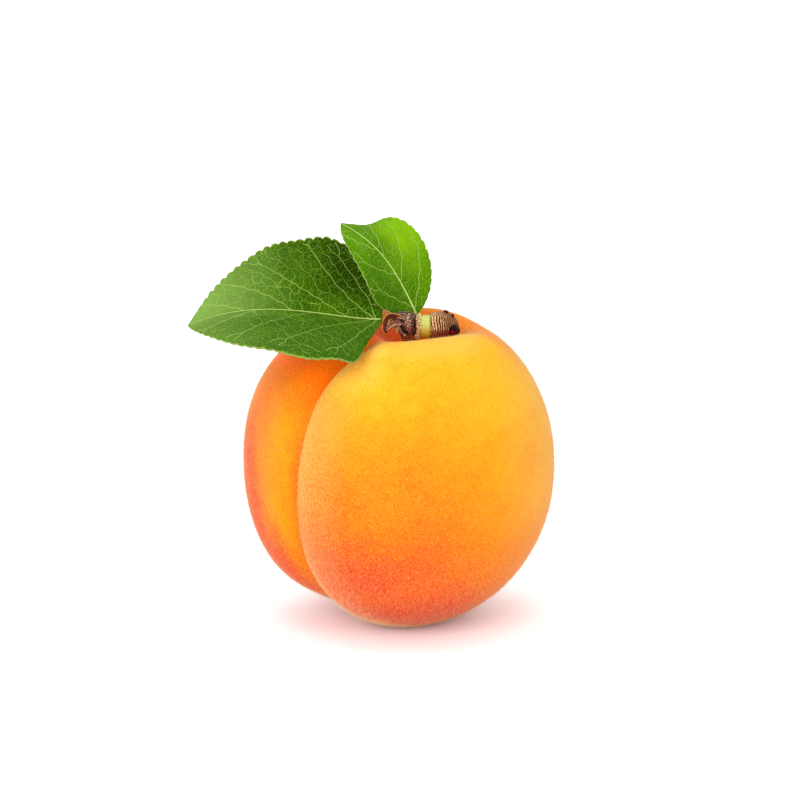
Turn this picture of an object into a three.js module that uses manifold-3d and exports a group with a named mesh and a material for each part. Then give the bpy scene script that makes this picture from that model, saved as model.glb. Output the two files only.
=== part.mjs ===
// An apricot as picked: the fruit, the short fruiting spur that it hung from, and two leaves.
// Millimetres, +Z up. The origin lies on the flat spot that the fruit rests on, under its middle.
// The front of the part, where the suture shows, faces -Y.

import * as THREE from 'three';
import { mergeVertices } from 'three/addons/utils/BufferGeometryUtils.js';
import Module from 'manifold-3d';

// ---------------------------------------------------------------- driving dimensions

// The fruit: two cheeks that meet in a suture groove, a stem cavity on top, a blunt base.
const FRUIT = {
  radius: 27,            // half the width at the belly
  crown: 27,             // from the belly up to the top, before the stem cavity is sunk
  base: 28.5,            // from the belly down to the bottom, before the flat spot
  crownSquareness: 2.15, // 2 is round, more is boxier
  baseSquareness: 2.05,
  bellyHeight: 27.64,    // height of the belly's centre above the ground
  sutureAt: 223,         // where the suture faces, degrees round +Z from +X
  lean: 3,               // degrees that the stem end leans towards +X
};

// Low swells and dips of the cheeks. Angles in degrees: round from the suture, up from the belly.
const SWELLS = [
  { round: 205, up: 48, by: 1.0, spread: 35 },
  { round: 305, up: 32, by: 0.9, spread: 30 },
  { round: 340, up: -38, by: 0.3, spread: 20 },
  { round: 330, up: -68, by: -1.4, spread: 18 },
  { round: 150, up: 20, by: -0.4, spread: 30 },
  { round: 25, up: 58, by: -0.9, spread: 18 },
  { round: 85, up: 66, by: 0.6, spread: 14 },
  { round: 118, up: 60, by: 0.7, spread: 12 },
  { round: 198, up: 64, by: 0.9, spread: 14 },
];

const CAVITY = { depth: 9, along: -1.7, across: 0.8, halfLength: 7.9, halfWidth: 7.4 };

// The suture: a steep wall on the near cheek, a broad one on the far cheek.
const GROOVE = {
  depth: 4.3,
  nearWidth: 1.9,
  farWidth: 3.8,
  sharpness: 1.2,
  bottomRadius: 0.3,
  flare: 0.6,            // extra width where it runs into the stem cavity
  flareFades: [15, 60],  // degrees down from the stem end over which that width goes
  opens: [8, 30],        // degrees down from the stem end over which it deepens
  fades: [130, 172],     // degrees down from the stem end over which it dies out
  fadedShare: 0.95,
  frontFrom: 8,          // how far in front of the core it has its full depth
};

const FRUIT_COLUMNS = 60;
const FRUIT_ROWS = 42;
const ROW_CROWDING = 0.1;   // how far rows crowd towards the stem cavity and the flat spot
const COLUMN_EVEN = 0.35;   // 1 spaces columns evenly, less crowds them towards the suture

// The spur: a stub of twig lying across the stem cavity, along X.
const SPUR = {
  y: 0,
  knobHeight: 51.9,      // height of the knob's middle
  barkHeight: 52.2,      // height of the bark's middle
  // half the thickness along X: rounded end, knob, neck, torn fringe, green band, bark, domed end
  outline: [
    [-1.0, 0], [-0.95, 0.95], [-0.6, 1.85], [0.1, 2.4], [1.2, 2.55], [2.3, 2.4], [2.95, 2.0],
    [3.3, 2.2], [3.6, 2.0], [5.2, 2.05], [5.45, 2.25], [6.6, 2.4], [7.8, 2.3], [8.8, 1.95],
    [9.6, 1.25], [10.05, 0.5], [10.15, 0],
  ],
  stalkAt: 1.2,          // where the knob's underside narrows to the fruit's stalk
  narrowing: 0.35,       // how much it narrows there, as a share of its length
  wrinkle: 0.13,
  wrinklesEnd: [2.2, 3.0],
  levelsOut: [4.8, 6.6],     // where the knob's middle height passes into the bark's
  barkFrom: 5.4,
  barkTo: 9.8,
  ringPitch: 0.45,
  ringHeight: 0.12,
  step: 0.225,
  sides: 14,
};

const BUD = { at: [9.3, -1.55, 51.6], radius: 0.95, reach: 1.2, turn: 35 };
const BARK_KNOT = { at: [7.9, -0.1, 54.35], radius: 0.5 };

// The stalk between the spur's knob and the floor of the stem cavity.
const STALK = { top: [1.3, 0.3, 51.2], foot: [2.7, 0.6, 45.4], topRadius: 0.95, footRadius: 1.15 };

// Dry bud scales at the spur's leafy end: a hooded one, a curled one under it, and a pointed one.
const SCALES = [
  {
    path: [
      [0.4, -1.1, 53.2], [-1.3, -2.6, 54.4], [-2.1, -3.2, 54.0], [-2.3, -3.5, 52.4], [-2.2, -3.5, 51.5],
    ],
    faces: [0.35, -0.85, -0.35],
    halfWidth: 0.7,
  },
  { path: [[0.5, -1.4, 52.9], [-1.1, -2.8, 53.2], [-2.3, -3.8, 52.5]], faces: [0, -0.4, 1], halfWidth: 0.5 },
  { path: [[0.3, -0.9, 53.0], [-1.6, -2.2, 54.5], [-2.5, -2.6, 55.3]], faces: [0, -1, 0], halfWidth: 0.4 },
];
const SCALE_THICKNESS = 0.6;
const SCALE_TIP = 0.35;  // half-width at a scale's tip, as a share of its root's

const BLADE_THICKNESS = 0.6;
const RIB_KEEL = 0.45;   // how far the midrib stands out under the blade, at its base
const BLADE_COLUMNS = [-1, -0.7, -0.38, -0.07, 0, 0.07, 0.38, 0.7, 1];
const ROWS_PER_TOOTH = 3;
const TOOTH_ROUNDNESS = 0.6;
const TOOTH_LEAN = 1.3;     // 1 is upright, more leans towards the leaf's tip
const TOOTH_MIDDLE = 0.6;   // share of a tooth that stands inside the outline
const TEETH_BEGIN = [0, 0.05];   // shares of the midrib over which the teeth grow to full depth
const TEETH_END = [0.99, 0.9];   // and over which they die out towards the tip

// A leaf: a midrib along a Bezier curve, and two halves folded up from it. Right and left are
// seen from the face, looking along the midrib to the tip. Angles in degrees, along the midrib.
const LEAF_LARGE = {
  midrib: [[-3.1, -2.7, 53.6], [-11.8, -2.4, 53.2], [-23.1, -11.3, 60.1], [-36.1, -8.4, 53.7]],
  faces: [0, 0, 1],
  right: { width: 15.6, fold: 48.5, foldGain: 0, curl: 0, sweep: -0.12 },
  left: { width: 19.9, fold: -5.5, foldGain: -3.8, curl: -12.4, sweep: 0.16 },
  baseFullness: 0.5,     // powers of the outline: lower is fuller
  tipFullness: 0.9,
  teeth: 34,
  toothDepth: 0.5,
  flutter: 0.45,
  flutterWaves: 3.5,
  petiole: [[-3.4, -2.6, 53.5], [-2.2, -1.7, 53.1], [-0.9, -0.5, 52.6]],
  petioleFaces: [0, 0, 1],
};

const LEAF_SMALL = {
  midrib: [[2.8, 2.8, 53.3], [-1.2, 3.6, 62.1], [-3.9, -2.2, 66.9], [-10.2, 3.2, 69.3]],
  faces: [0, -1, 0.25],
  right: { width: 10.1, fold: -28.2, foldGain: -36.6, curl: 0, sweep: 0.07 },
  left: { width: 8.0, fold: 42.3, foldGain: 7.9, curl: 0, sweep: -0.09 },
  baseFullness: 0.69,
  tipFullness: 0.88,
  teeth: 22,
  toothDepth: 0.3,
  flutter: 0.2,
  flutterWaves: 2.5,
  petiole: [[2.7, 2.8, 53.7], [2.4, 2.2, 53.1], [1.9, 1.0, 52.5]],
  petioleFaces: [1, 0, 0],
};

const PETIOLE_RADIUS = 0.55;
const SOCKET_GAP = 0.3;

const COLOURS = {
  skin: { color: '#f7a01c', roughness: 0.6 },
  bark: { color: '#7a4a33', roughness: 0.85 },
  blade: { color: '#4f8a1e', roughness: 0.5 },
  bladeYoung: { color: '#6aa62a', roughness: 0.5 },
};

// ---------------------------------------------------------------- shared geometry

const DEGREE = Math.PI / 180;
const wasm = await Module();
wasm.setup();

function smoothstep(from, to, value) {
  const t = Math.min(Math.max((value - from) / (to - from), 0), 1);
  return t * t * (3 - 2 * t);
}

function vector(point) {
  return new THREE.Vector3(...point);
}

function geometryFrom(points, triangles) {
  const geometry = new THREE.BufferGeometry().setFromPoints(points);
  geometry.setIndex(triangles.flat());
  return geometry;
}

// A geometry with its seams closed and its collapsed triangles dropped.
function closed(geometry) {
  geometry.deleteAttribute('normal');
  geometry.deleteAttribute('uv');
  const merged = mergeVertices(geometry, 1e-4);
  const index = merged.index.array;
  const kept = [];
  for (let i = 0; i < index.length; i += 3) {
    const [a, b, c] = index.slice(i, i + 3);
    if (a !== b && b !== c && c !== a) {
      kept.push(a, b, c);
    }
  }
  merged.setIndex(kept);
  return merged;
}

function solid(geometry) {
  const merged = closed(geometry);
  const vertProperties = new Float32Array(merged.attributes.position.array);
  const triVerts = new Uint32Array(merged.index.array);
  return new wasm.Manifold(new wasm.Mesh({ numProp: 3, vertProperties, triVerts }));
}

function geometryOf(body) {
  const mesh = body.getMesh();
  const geometry = new THREE.BufferGeometry();
  geometry.setAttribute('position', new THREE.BufferAttribute(mesh.vertProperties, 3));
  geometry.setIndex(new THREE.BufferAttribute(mesh.triVerts, 1));
  geometry.computeVertexNormals();
  return geometry;
}

function moveVertices(geometry, place) {
  const position = geometry.attributes.position;
  const uv = geometry.attributes.uv;
  for (let i = 0; i < position.count; i += 1) {
    const from = new THREE.Vector3().fromBufferAttribute(position, i);
    const to = place(from, uv.getX(i), uv.getY(i));
    position.setXYZ(i, to.x, to.y, to.z);
  }
  return geometry;
}

// A round or flattened rod whose middle follows a curve. halfHeight(t) lies along up.
function rod(path, up, halfWidth, halfHeight, sides, steps) {
  const curve = new THREE.CatmullRomCurve3(path.map(vector));
  const geometry = new THREE.CylinderGeometry(1, 1, 1, sides, steps);
  return moveVertices(geometry, (from) => {
    const t = Math.min(Math.max(from.y + 0.5, 0), 1);
    const along = curve.getTangentAt(t);
    const level = new THREE.Vector3().crossVectors(along, vector(up)).normalize();
    const upright = new THREE.Vector3().crossVectors(level, along);
    return curve.getPointAt(t)
      .addScaledVector(level, from.x * halfWidth(t))
      .addScaledVector(upright, from.z * halfHeight(t));
  });
}

// ---------------------------------------------------------------- fruit

function swellAt(direction) {
  let total = 0;
  for (const swell of SWELLS) {
    const [turn, rise] = [swell.round * DEGREE, swell.up * DEGREE];
    const level = Math.cos(rise);
    const middle = new THREE.Vector3(level * Math.cos(turn), level * Math.sin(turn), Math.sin(rise));
    const apart = direction.angleTo(middle) / DEGREE;
    total += swell.by * Math.exp(-((apart / swell.spread) ** 2));
  }
  return total;
}

function grooveDepth(down, sideways) {
  const opening = smoothstep(...GROOVE.opens, down);
  const fading = 1 - GROOVE.fadedShare * smoothstep(...GROOVE.fades, down);
  const flare = 1 + GROOVE.flare * (1 - smoothstep(...GROOVE.flareFades, down));
  const width = (sideways > 0 ? GROOVE.nearWidth : GROOVE.farWidth) * flare;
  const away = Math.hypot(sideways, GROOVE.bottomRadius) / width;
  return GROOVE.depth * opening * fading * Math.exp(-(away ** GROOVE.sharpness));
}

// A point of the skin. x runs towards the suture, y across it to the near cheek, z to the stem.
function skinPoint(down, round) {
  const ring = Math.sin(down);
  const height = Math.cos(down);
  const direction = new THREE.Vector3(ring * Math.cos(round), ring * Math.sin(round), height);
  const reach = height > 0 ? FRUIT.crown : FRUIT.base;
  const squareness = height > 0 ? FRUIT.crownSquareness : FRUIT.baseSquareness;
  const sum = (ring / FRUIT.radius) ** squareness + Math.abs(height / reach) ** squareness;
  const distance = sum ** (-1 / squareness) + swellAt(direction);
  const point = direction.clone().multiplyScalar(distance);
  if (height > 0) {
    const along = (point.x - CAVITY.along) / CAVITY.halfLength;
    const across = (point.y - CAVITY.across) / CAVITY.halfWidth;
    point.z -= CAVITY.depth * Math.exp(-(along ** 2 + across ** 2));
  }
  const inward = new THREE.Vector3(point.x, 0, distance * height).normalize();
  const sunk = grooveDepth(down / DEGREE, point.y) * smoothstep(0, GROOVE.frontFrom, point.x);
  return point.addScaledVector(inward, -sunk);
}

function fruitSkin() {
  const geometry = new THREE.SphereGeometry(1, FRUIT_COLUMNS, FRUIT_ROWS);
  const turn = new THREE.Matrix4().makeRotationZ(FRUIT.sutureAt * DEGREE);
  turn.premultiply(new THREE.Matrix4().makeRotationY(FRUIT.lean * DEGREE));
  return moveVertices(geometry, (from) => {
    // rows crowd towards the stem cavity and the flat spot, columns towards the suture
    const row = Math.acos(from.y) / Math.PI;
    const down = Math.PI * (row - ROW_CROWDING * Math.sin(2 * Math.PI * row));
    const side = Math.atan2(from.z, -from.x) / Math.PI;
    const round = Math.PI * (COLUMN_EVEN * side + (1 - COLUMN_EVEN) * side ** 3);
    const point = skinPoint(down, round).applyMatrix4(turn);
    point.z = Math.max(point.z + FRUIT.bellyHeight, 0);
    return point;
  });
}

// ---------------------------------------------------------------- spur

function spurShape() {
  const [start, end] = [SPUR.outline[0][0], SPUR.outline.at(-1)[0]];
  const rows = Math.round((end - start) / SPUR.step);
  const profile = [];
  for (let i = 0; i <= rows; i += 1) {
    const x = start + ((end - start) * i) / rows;
    profile.push(new THREE.Vector2(outlineRadius(x), x));
  }
  profile[0].x = 0;
  profile[rows].x = 0;
  const lathe = new THREE.LatheGeometry(profile, SPUR.sides);
  return moveVertices(lathe, (from) => {
    const x = from.y;
    const turn = Math.atan2(from.z, from.x);
    const knob = 1 - smoothstep(...SPUR.wrinklesEnd, x);
    const waves = Math.sin(3 * turn + 1.1 * x) + 0.8 * Math.sin(5 * turn - 1.7 * x + 2);
    const radius = Math.hypot(from.x, from.z);
    const scale = radius > 0.5 ? 1 + (SPUR.wrinkle * knob * waves) / radius : 1;
    const middle = THREE.MathUtils.lerp(SPUR.knobHeight, SPUR.barkHeight, smoothstep(...SPUR.levelsOut, x));
    const below = Math.max(-Math.sin(turn), 0);
    const drawn = THREE.MathUtils.lerp(x, SPUR.stalkAt, SPUR.narrowing * below * knob);
    return new THREE.Vector3(drawn, SPUR.y - from.x * scale, middle + from.z * scale);
  });
}

function outlineRadius(x) {
  const next = Math.max(SPUR.outline.findIndex(([at]) => at >= x), 1);
  const [x0, r0] = SPUR.outline[next - 1];
  const [x1, r1] = SPUR.outline[next];
  const radius = THREE.MathUtils.lerp(r0, r1, (x - x0) / (x1 - x0));
  const onBark = x > SPUR.barkFrom && x < SPUR.barkTo;
  const ring = Math.abs(Math.sin((Math.PI * (x - SPUR.barkFrom)) / SPUR.ringPitch));
  return onBark ? radius + SPUR.ringHeight * (ring - 0.5) : radius;
}

function bud() {
  const ball = new THREE.SphereGeometry(1, 12, 8);
  ball.scale(BUD.radius, BUD.reach, BUD.radius);
  ball.rotateZ(BUD.turn * DEGREE);
  ball.translate(...BUD.at);
  return ball;
}

function barkKnot() {
  const ball = new THREE.SphereGeometry(BARK_KNOT.radius, 10, 6);
  ball.translate(...BARK_KNOT.at);
  return ball;
}

function scale({ path, faces, halfWidth }) {
  const taper = (t) => 1 - (1 - SCALE_TIP) * t ** 2;
  return rod(path, faces, (t) => halfWidth * taper(t), () => SCALE_THICKNESS / 2, 10, 8);
}

function stalk(gap) {
  const foot = vector(STALK.foot).setZ(STALK.foot[2] - gap);
  const radius = (t) => gap + THREE.MathUtils.lerp(STALK.topRadius, STALK.footRadius, t);
  return rod([STALK.top, foot.toArray()], [0, 1, 0], radius, radius, 14, 4);
}

// ---------------------------------------------------------------- leaves

function petiole(leaf, gap) {
  const path = leaf.petiole.map(vector);
  const end = path.at(-1);
  end.addScaledVector(end.clone().sub(path.at(-2)).normalize(), gap);
  const radius = () => PETIOLE_RADIUS + gap;
  return rod(path.map((point) => point.toArray()), leaf.petioleFaces, radius, radius, 10, 6);
}

// The outline's half-width, as a share of its widest.
function outlineShare(leaf, s) {
  const { baseFullness: a, tipFullness: b } = leaf;
  const widest = a / (a + b);
  return (s / widest) ** a * ((1 - s) / (1 - widest)) ** b;
}

// Shares of the midrib at even steps round the outline, so that the teeth are alike all the way.
function evenRows(leaf, length, rows) {
  const halfWidth = (leaf.right.width + leaf.left.width) / 2;
  const samples = 500;
  const shares = [0];
  const run = [0];
  for (let i = 1; i <= samples; i += 1) {
    shares.push((i / samples) ** 2);
    const out = halfWidth * (outlineShare(leaf, shares[i]) - outlineShare(leaf, shares[i - 1]));
    run.push(run[i - 1] + Math.hypot(out, length * (shares[i] - shares[i - 1])));
  }
  const spots = [];
  for (let row = 0; row <= rows; row += 1) {
    const goal = (run[samples] * row) / rows;
    const next = Math.max(run.findIndex((reached) => reached >= goal), 1);
    const part = (goal - run[next - 1]) / (run[next] - run[next - 1]);
    spots.push(THREE.MathUtils.lerp(shares[next - 1], shares[next], part));
  }
  return spots;
}

// A point of the blade's middle surface: s along the midrib, t across it, from -1 (left) to 1 (right).
function bladePoint(leaf, curve, s, t, tooth) {
  const along = curve.getTangent(s);
  const level = new THREE.Vector3().crossVectors(along, vector(leaf.faces)).normalize();
  const facing = new THREE.Vector3().crossVectors(level, along);
  const half = t < 0 ? leaf.left : leaf.right;
  const out = Math.abs(t);
  const width = half.width * outlineShare(leaf, s);
  const reach = out * width + tooth * out ** 3;
  const fold = (half.fold + half.foldGain * s + (half.curl * out) / 2) * DEGREE;
  const wave = leaf.flutter * Math.sin(2 * Math.PI * leaf.flutterWaves * s) * out ** 2 * (1 - s);
  return curve.getPoint(s)
    .addScaledVector(level, Math.sign(t) * reach * Math.cos(fold))
    .addScaledVector(facing, reach * Math.sin(fold) + wave)
    .addScaledVector(along, half.sweep * out * width);
}

function bladeShape(leaf, gap) {
  const curve = new THREE.CubicBezierCurve3(...leaf.midrib.map(vector));
  const rows = leaf.teeth * ROWS_PER_TOOTH;
  const last = BLADE_COLUMNS.length - 1;
  const middle = evenRows(leaf, curve.getLength(), rows).map((s, i) => {
    const inside = i > 0 && i < rows;
    const along = ((i / ROWS_PER_TOOTH) % 1) ** TOOTH_LEAN;
    const scallop = Math.sin(Math.PI * along) ** TOOTH_ROUNDNESS;
    const depth = leaf.toothDepth * smoothstep(...TEETH_BEGIN, s) * smoothstep(...TEETH_END, s);
    const tooth = depth * (scallop - TOOTH_MIDDLE) + gap;
    return BLADE_COLUMNS.map((t) => bladePoint(leaf, curve, s, inside ? t : 0, inside ? tooth : 0));
  });

  // Thickness: each point moves off the middle surface, up and down, along the surface's normal.
  // The ends come to one point, so they take the whole width of the row next to them.
  const upper = [];
  const lower = [];
  const rib = last / 2;
  for (let i = 0; i <= rows; i += 1) {
    const [before, after] = [middle[Math.max(i - 1, 0)], middle[Math.min(i + 1, rows)]];
    const near = middle[Math.min(Math.max(i, 1), rows - 1)];
    const atEnd = i === 0 || i === rows;
    for (let j = 0; j <= last; j += 1) {
      const [left, right] = atEnd ? [0, last] : [Math.max(j - 1, 0), Math.min(j + 1, last)];
      const column = atEnd ? rib : j;
      const crossing = near[right].clone().sub(near[left]);
      const along = after[column].clone().sub(before[column]);
      const normal = crossing.cross(along).normalize();
      const keel = j === rib && !atEnd ? RIB_KEEL * (1 - i / rows) : 0;
      upper.push(middle[i][j].clone().addScaledVector(normal, BLADE_THICKNESS / 2 + gap));
      lower.push(middle[i][j].clone().addScaledVector(normal, -BLADE_THICKNESS / 2 - keel - gap));
    }
  }

  const triangles = [];
  const under = upper.length;
  const at = (i, j) => i * (last + 1) + j;
  for (let i = 0; i < rows; i += 1) {
    for (let j = 0; j < last; j += 1) {
      const [a, b, c, d] = [at(i, j), at(i, j + 1), at(i + 1, j + 1), at(i + 1, j)];
      triangles.push([a, b, c], [a, c, d]);
      triangles.push([under + c, under + b, under + a], [under + d, under + c, under + a]);
    }
    const [a, b, c, d] = [at(i, 0), at(i + 1, 0), under + at(i + 1, 0), under + at(i, 0)];
    triangles.push([a, b, c], [a, c, d]);
    const [e, f, g, h] = [at(i, last), at(i + 1, last), under + at(i + 1, last), under + at(i, last)];
    triangles.push([g, f, e], [h, g, e]);
  }
  return geometryFrom([...upper, ...lower], triangles);
}

// A leaf, grown by the gap on all sides where that isn't 0.
function leafShape(leaf, gap) {
  return solid(bladeShape(leaf, gap)).add(solid(petiole(leaf, gap)));
}

// ---------------------------------------------------------------- assembly

function part(name, body, finish) {
  const material = new THREE.MeshStandardMaterial({ metalness: 0, ...finish });
  const mesh = new THREE.Mesh(geometryOf(body), material);
  mesh.name = name;
  return mesh;
}

const fruit = solid(fruitSkin()).subtract(solid(stalk(SOCKET_GAP)));

let spur = solid(spurShape()).add(solid(bud())).add(solid(barkKnot())).add(solid(stalk(0)));
for (const one of SCALES) {
  spur = spur.add(solid(scale(one)));
}
for (const leaf of [LEAF_LARGE, LEAF_SMALL]) {
  spur = spur.subtract(leafShape(leaf, SOCKET_GAP));
}

const apricot = new THREE.Group();
apricot.add(part('fruit', fruit, COLOURS.skin));
apricot.add(part('spur', spur, COLOURS.bark));
apricot.add(part('leaf_large', leafShape(LEAF_LARGE, 0), COLOURS.blade));
apricot.add(part('leaf_small', leafShape(LEAF_SMALL, 0), COLOURS.bladeYoung));

export default apricot;
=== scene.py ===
import math
from types import SimpleNamespace

import bpy
import numpy as np
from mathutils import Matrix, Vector, geometry, kdtree, noise


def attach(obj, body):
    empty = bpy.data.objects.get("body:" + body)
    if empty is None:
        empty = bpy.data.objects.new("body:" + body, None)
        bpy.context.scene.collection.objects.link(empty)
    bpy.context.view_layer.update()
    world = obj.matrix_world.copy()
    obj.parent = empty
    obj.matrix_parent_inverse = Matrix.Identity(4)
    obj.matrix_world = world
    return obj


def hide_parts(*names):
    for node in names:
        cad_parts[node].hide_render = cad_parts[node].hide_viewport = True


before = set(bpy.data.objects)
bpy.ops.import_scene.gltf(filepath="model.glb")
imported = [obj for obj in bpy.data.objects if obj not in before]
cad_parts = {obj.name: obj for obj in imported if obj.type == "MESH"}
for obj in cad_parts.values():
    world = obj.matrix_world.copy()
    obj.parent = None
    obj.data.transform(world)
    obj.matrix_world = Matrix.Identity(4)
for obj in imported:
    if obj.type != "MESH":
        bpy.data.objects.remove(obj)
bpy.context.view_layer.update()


# ---------------------------------------------------------------- camera
# A long lens, low in front of the fruit and a little above its shoulder, so that both the suture
# and the stem cavity show.

MM = 0.001


def stand(name, data):
    """A new object in the scene."""
    made = bpy.data.objects.new(name, data)
    bpy.context.scene.collection.objects.link(made)
    return made


def aim(made, place, target):
    """Puts a camera or a lamp at a place, turned to a target, both in millimetres."""
    made.location = Vector(place) * MM
    made.rotation_euler = (Vector(target) - Vector(place)).to_track_quat("-Z", "Y").to_euler()


camera_lens = bpy.data.cameras.new("camera")
camera_lens.sensor_width = 36
camera_lens.lens = 167.9
camera = stand("camera", camera_lens)
aim(camera, (0, -630.7, 184.3), (0, 0, 38.9))
bpy.context.scene.camera = camera
bpy.context.scene.view_settings.view_transform = "Standard"


# ---------------------------------------------------------------- floor and light
# A wide table top of white matt board, in a bright even room. The main soft lamp stands to the
# front left, above the fruit, so the shadow falls behind it to the right.

class Wire:
    """A value in a material. Arithmetic on it adds Math nodes, and node() adds any other node."""

    def __init__(self, tree, socket=None):
        self.tree = tree
        self.socket = socket

    def node(self, kind, settings=None, sockets=None, output=0):
        made = self.tree.nodes.new("ShaderNode" + kind)
        for name, value in (settings or {}).items():
            if name == "stops":
                fill_ramp(made.color_ramp, value)
            else:
                setattr(made, name, value)
        for name, value in (sockets or {}).items():
            if isinstance(value, Wire):
                self.tree.links.new(value.socket, made.inputs[name])
            else:
                made.inputs[name].default_value = value
        return Wire(self.tree, made.outputs[output])

    def math(self, operation, *values):
        return self.node("Math", {"operation": operation}, dict(enumerate(values)))

    def __add__(self, other):
        return self.math("ADD", self, other)

    def __sub__(self, other):
        return self.math("SUBTRACT", self, other)

    def __mul__(self, other):
        return self.math("MULTIPLY", self, other)

    def __truediv__(self, other):
        return self.math("DIVIDE", self, other)

    def __rsub__(self, other):
        return self.math("SUBTRACT", other, self)

    def __rtruediv__(self, other):
        return self.math("DIVIDE", other, self)

    __radd__ = __add__
    __rmul__ = __mul__

    def at_least(self, other):
        return self.math("MAXIMUM", self, other)

    def eased(self, low, high):
        """0 below low and 1 above high, with an easy slope between; low may be the larger."""
        ends = {"Value": self, "From Min": low, "From Max": high}
        return self.node("MapRange", {"interpolation_type": "SMOOTHSTEP"}, ends)

    def over(self, under, cover):
        """The colour under where this is 0, and cover where it is 1."""
        return self.node("Mix", {"data_type": "RGBA"}, {0: self, 6: paint(under), 7: paint(cover)}, 2)

    def ramp(self, *stops):
        """The colours of a ramp, which each stand at their own value of this."""
        return self.node("ValToRGB", {"stops": stops}, {0: self})

    def carried(self, name, output=1):
        """What the mesh carries at each point under a name: output 1 is a triple, 2 a number."""
        return self.node("Attribute", {"attribute_name": name}, {}, output)

    def axis(self, index):
        return self.node("SeparateXYZ", {}, {0: self}, output=index)

    def cloud(self, size, detail=3.0, rough=0.5):
        """Soft noise, 0 to 1, whose patches are about size across."""
        knobs = {"Vector": self, "Scale": 1 / size, "Detail": detail, "Roughness": rough}
        return self.node("TexNoise", {}, knobs)

    def cell_wall(self, size):
        """How far away the nearest wall is in a net of cells about size across."""
        net = self.node("TexVoronoi", {"feature": "DISTANCE_TO_EDGE"}, {"Vector": self, "Scale": 1 / size})
        return net * size

    def dot_middle(self, size):
        """How far away the nearest of scattered dots is, with one dot in each size of space."""
        return self.node("TexVoronoi", {"feature": "F1"}, {"Vector": self, "Scale": 1 / size}) * size

    def near(self, point, inner, outer):
        """1 within inner of a point, easing to 0 at outer."""
        away = self.node("VectorMath", {"operation": "DISTANCE"}, {0: self, 1: point}, output=1)
        return away.eased(outer, inner)

    def towards(self, heading):
        """How far along a heading this place lies."""
        return self.node("VectorMath", {"operation": "DOT_PRODUCT"}, {0: self, 1: heading}, output=1)

    def raised(self, depth):
        """The shading normal of a surface raised by this height, in metres times depth."""
        return self.node("Bump", {}, {"Height": self, "Distance": depth, "Strength": 1.0})


def fill_ramp(ramp, stops):
    while len(ramp.elements) < len(stops):
        ramp.elements.new(1.0)
    for element, (place, colour) in zip(ramp.elements, stops):
        element.position = place
        element.color = paint(colour)


room_light = 1.75        # how much light a surface facing up gets, where 1 shows white as white


def paint(look):
    """The colour of a surface that looks like this, 0 to 255, in the light of the room. What is a
    wire, or has its alpha and so is a surface's own colour, stays as it is."""
    if isinstance(look, Wire) or len(look) == 4:
        return look
    parts = [c / 255 for c in look]
    light = [c / 12.92 if c < 0.04045 else ((c + 0.055) / 1.055) ** 2.4 for c in parts]
    return tuple(c / room_light for c in light) + (1.0,)


def layered(colour, *layers):
    """A colour with others laid over it in turn, each by its own mask."""
    for mask, cover in layers:
        colour = mask.over(colour, cover)
    return colour


def new_finish(name, **constants):
    """A material, the place on the object in millimetres, and a function that links its shader."""
    material = bpy.data.materials.new(name)
    material.use_nodes = True
    tree = material.node_tree
    shader = tree.nodes["Principled BSDF"]
    for socket, value in constants.items():
        shader.inputs[socket.replace("_", " ")].default_value = value

    def link(**wires):
        for socket, wire in wires.items():
            tree.links.new(wire.socket, shader.inputs[socket.replace("_", " ")])

    metres = Wire(tree).node("TexCoord", output=3)
    place = metres.node("VectorMath", {"operation": "SCALE"}, {0: metres, "Scale": 1 / MM})
    return material, place, link


def add_mesh(name, points, faces, material, **values):
    """A smooth mesh from points in millimetres, with values at each point that its material reads."""
    mesh = bpy.data.meshes.new(name)
    mesh.from_pydata((np.asarray(points) * MM).tolist(), [], faces)
    mesh.polygons.foreach_set("use_smooth", [True] * len(mesh.polygons))
    mesh.materials.append(material)
    for key, numbers in values.items():
        flat = np.asarray(numbers, dtype=float)
        kind, field = ("FLOAT", "value") if flat.ndim == 1 else ("FLOAT_VECTOR", "vector")
        mesh.attributes.new(key, kind, "POINT").data.foreach_set(field, flat.ravel())
    return stand(name, mesh)


def add_lamp(name, size, watts, place, target):
    lamp = bpy.data.lights.new(name, "AREA")
    lamp.shape = "DISK"
    lamp.size = size
    lamp.energy = watts
    aim(stand(name, lamp), place, target)


floor_half = 3000.0
floor_finish, place, link = new_finish("table_white", Roughness=0.9)
dust = place.cloud(300.0, 2.0)
link(Base_Color=dust.eased(0.3, 0.7).over((0.96, 0.96, 0.96, 1.0), (0.98, 0.98, 0.98, 1.0)))
corners = [(x * floor_half, y * floor_half, 0) for x, y in ((-1, -1), (1, -1), (1, 1), (-1, 1))]
add_mesh("table_top", corners, [(0, 1, 2, 3)], floor_finish)

room = bpy.data.worlds.new("room")
room.use_nodes = True
sky = room.node_tree.nodes["Background"].inputs
sky["Color"].default_value = (1.0, 1.0, 1.0, 1.0)
sky["Strength"].default_value = 1.15
bpy.context.scene.world = room

add_lamp("overhead", 0.8, 2.8, (-100, 100, 900), (0, 0, 20))
add_lamp("main", 1.0, 10.5, (-550, -900, 350), (0, 0, 30))
add_lamp("side", 0.8, 3.3, (700, -800, 350), (0, 0, 30))


# ---------------------------------------------------------------- fruit
# One grown piece: juicy flesh under a thin downy skin. Two full cheeks meet in the suture, a
# groove that runs from the stem cavity down the front left and dies out under the fruit.

DEGREE = math.pi / 180
fruit_radius = 27.0
fruit_crown, crown_squareness = 27.0, 2.15
fruit_base, base_squareness = 28.5, 2.05
belly_height = 27.64
suture_at, fruit_lean = 223 * DEGREE, 3 * DEGREE
suture_ahead = (math.cos(suture_at), math.sin(suture_at), 0)
suture_aside = (-math.sin(suture_at), math.cos(suture_at), 0)    # the near cheek's side
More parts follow.
